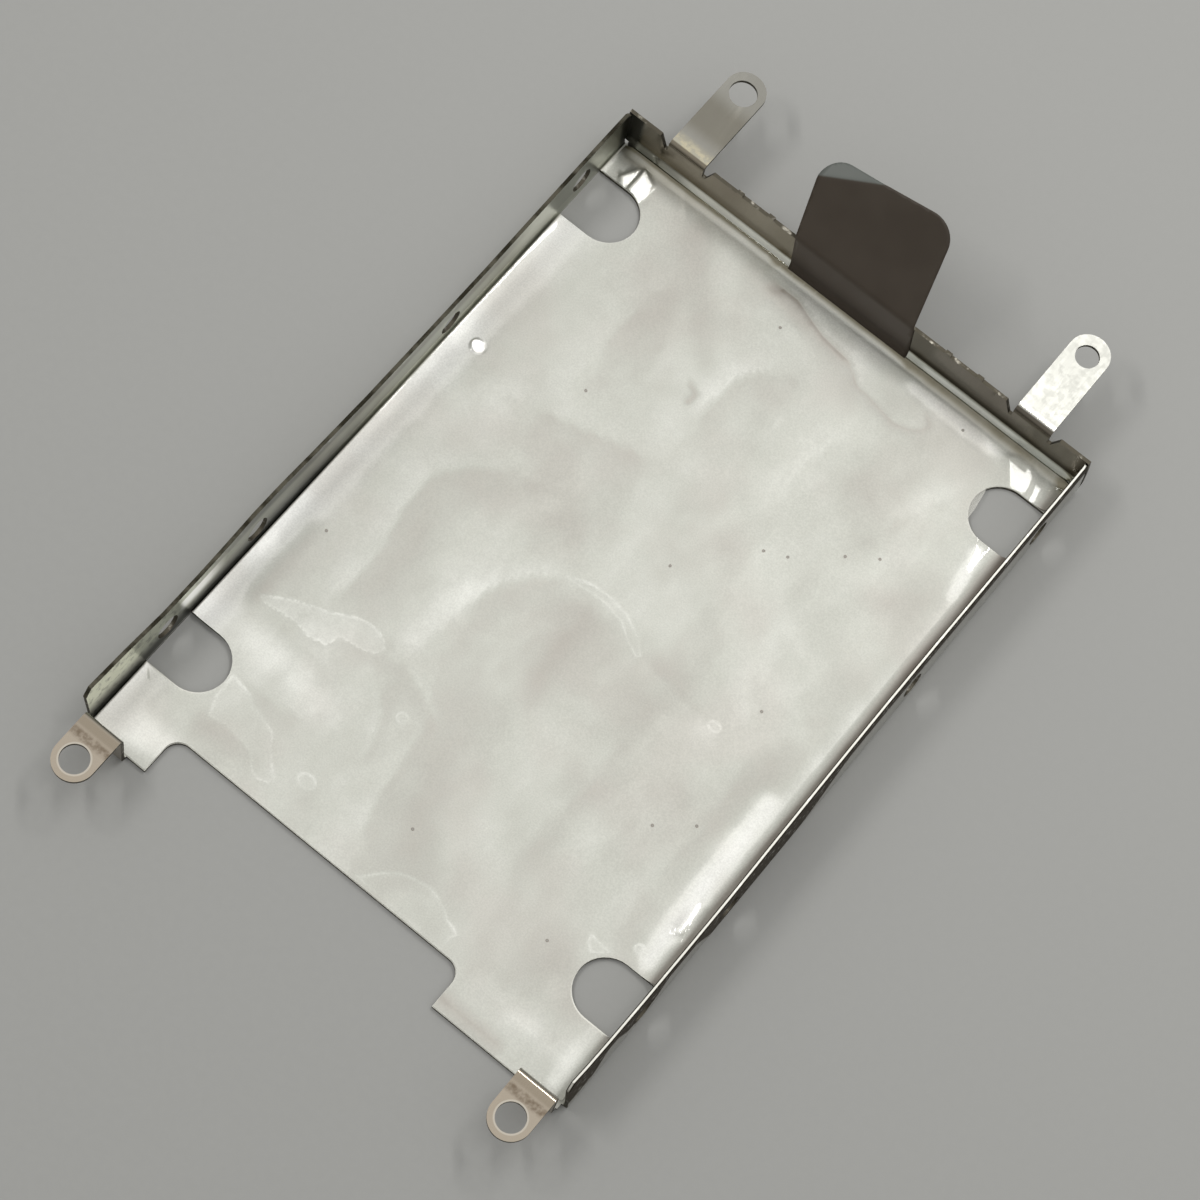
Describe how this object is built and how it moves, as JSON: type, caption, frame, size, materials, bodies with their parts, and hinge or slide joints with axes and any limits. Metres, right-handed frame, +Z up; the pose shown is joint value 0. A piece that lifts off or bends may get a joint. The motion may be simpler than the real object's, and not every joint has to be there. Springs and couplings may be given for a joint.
{
  "type": "laptop drive caddy",
  "caption": "Shallow folded stainless tray that carries a 2.5 inch drive in a laptop, with screw ears, floor cut-outs, a connector notch, a clear insulating film and a dark film pull tab.",
  "frame": {"origin": "middle of the drive bay on the underside of the floor", "axes": "+X across the bay to the right-hand wall, +Y from the connector end to the end wall, +Z up out of the bay"},
  "size_m": [0.071, 0.1228, 0.0181],
  "materials": {
    "stainless_sheet": "bright rolled stainless sheet, lightly scuffed and greyed at the bends",
    "clear_film": "clear glossy film with bubbles and faint waves",
    "tab_film": "satin dark brown-grey polyester film"
  },
  "bodies": {
    "root": {"tray": "stainless_sheet", "insulating_film": "clear_film", "pull_tab": "tab_film"}
  },
  "joints": []
}
